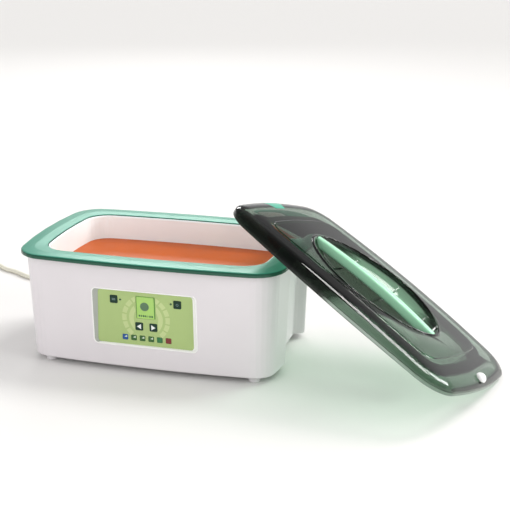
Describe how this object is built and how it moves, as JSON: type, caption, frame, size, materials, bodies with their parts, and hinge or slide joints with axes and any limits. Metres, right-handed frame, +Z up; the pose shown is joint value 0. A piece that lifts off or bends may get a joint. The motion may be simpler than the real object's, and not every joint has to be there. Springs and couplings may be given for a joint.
{
  "type": "paraffin wax bath",
  "caption": "Tabletop heated paraffin wax bath for hands and feet: white moulded housing, green rim, filled tank, key panel, and a clear lid leaned against it.",
  "frame": {"origin": "middle of the arrangement's footprint without the free cord, on the floor under the feet", "axes": "+X along the bath's length towards the leaned lid, +Y from the key panel towards the cord, +Z up"},
  "size_m": [1.0513, 0.503, 0.2372],
  "materials": {
    "housing_white": "semi-gloss moulded plastic",
    "rim_green": "glossy green with a faint brushed streak",
    "tank_enamel": "smooth white enamel",
    "wax_orange": "molten wax, glossy surface",
    "base_grey": "matt",
    "foot_rubber": "matt",
    "heater_mat": "matt",
    "jacket_felt": "felt",
    "steel": "brushed",
    "board_green": "board with a green mask",
    "core_grey": "laminated core",
    "film_green": "satin film",
    "lcd_green": "lit display",
    "key_dark": "satin",
    "lamp_blue": "glossy lens",
    "lamp_green": "glossy lens",
    "lamp_red": "glossy lens",
    "lid_smoke": "clear smoke-green plastic, polished",
    "grip_mint": "translucent, polished",
    "vent_white": "satin",
    "cord_cream": "soft PVC",
    "pin_metal": "nickelled brass"
  },
  "bodies": {
    "bath": {"base_plate": "base_grey", "base_screw_front_left": "steel", "base_screw_front_right": "steel", "base_screw_rear_left": "steel", "base_screw_rear_right": "steel", "board_screw_lower_left": "steel", "board_screw_lower_right": "steel", "board_screw_upper_left": "steel", "board_screw_upper_right": "steel", "control_board": "board_green", "cord_coil": "cord_cream", "foot_front_left": "foot_rubber", "foot_front_right": "foot_rubber", "foot_rear_left": "foot_rubber", "foot_rear_right": "foot_rubber", "heater_mat": "heater_mat", "housing": "housing_white", "inner_lead": "cord_cream", "inner_tank": "tank_enamel", "insulation_jacket": "jacket_felt", "lcd_module": "lcd_green", "mains_plug": "cord_cream", "mode_lamp_1": "lamp_blue", "mode_lamp_2": "lamp_green", "mode_lamp_3": "lamp_green", "mode_lamp_4": "lamp_green", "mode_lamp_5": "lamp_green", "mode_lamp_6": "lamp_red", "panel_film": "film_green", "plug_lead": "cord_cream", "plug_pin_left": "pin_metal", "plug_pin_right": "pin_metal", "power_board": "board_green", "power_cord": "cord_cream", "rim_frame": "rim_green", "status_lamp_left": "lamp_green", "status_lamp_right": "lamp_green", "strain_relief": "cord_cream", "temperature_probe": "steel", "terminal_block": "base_grey", "thermal_cutout": "steel", "transformer": "core_grey", "wax_fill": "wax_orange"},
    "lid": {"lid_shell": "lid_smoke", "lid_grip": "grip_mint", "vent_plug": "vent_white", "lid_tab": "rim_green"},
    "key_set": {"key_set": "key_dark"},
    "key_power": {"key_power": "key_dark"},
    "key_arrow_left": {"key_arrow_left": "key_dark"},
    "key_arrow_right": {"key_arrow_right": "key_dark"}
  },
  "joints": [
    {"name": "lid_lift", "type": "slide", "parent": "bath", "child": "lid", "axis": [0, 0, 1], "range_m": [0, 0.25]},
    {"name": "key_set_press", "type": "slide", "parent": "bath", "child": "key_set", "axis": [0, 0.9991, 0.0427], "range_m": [0, 0.0005], "stiffness_N_per_m": 600},
    {"name": "key_power_press", "type": "slide", "parent": "bath", "child": "key_power", "axis": [0, 0.9991, 0.0427], "range_m": [0, 0.0005], "stiffness_N_per_m": 600},
    {"name": "key_arrow_left_press", "type": "slide", "parent": "bath", "child": "key_arrow_left", "axis": [0, 0.9991, 0.0427], "range_m": [0, 0.0005], "stiffness_N_per_m": 600},
    {"name": "key_arrow_right_press", "type": "slide", "parent": "bath", "child": "key_arrow_right", "axis": [0, 0.9991, 0.0427], "range_m": [0, 0.0005], "stiffness_N_per_m": 600}
  ]
}
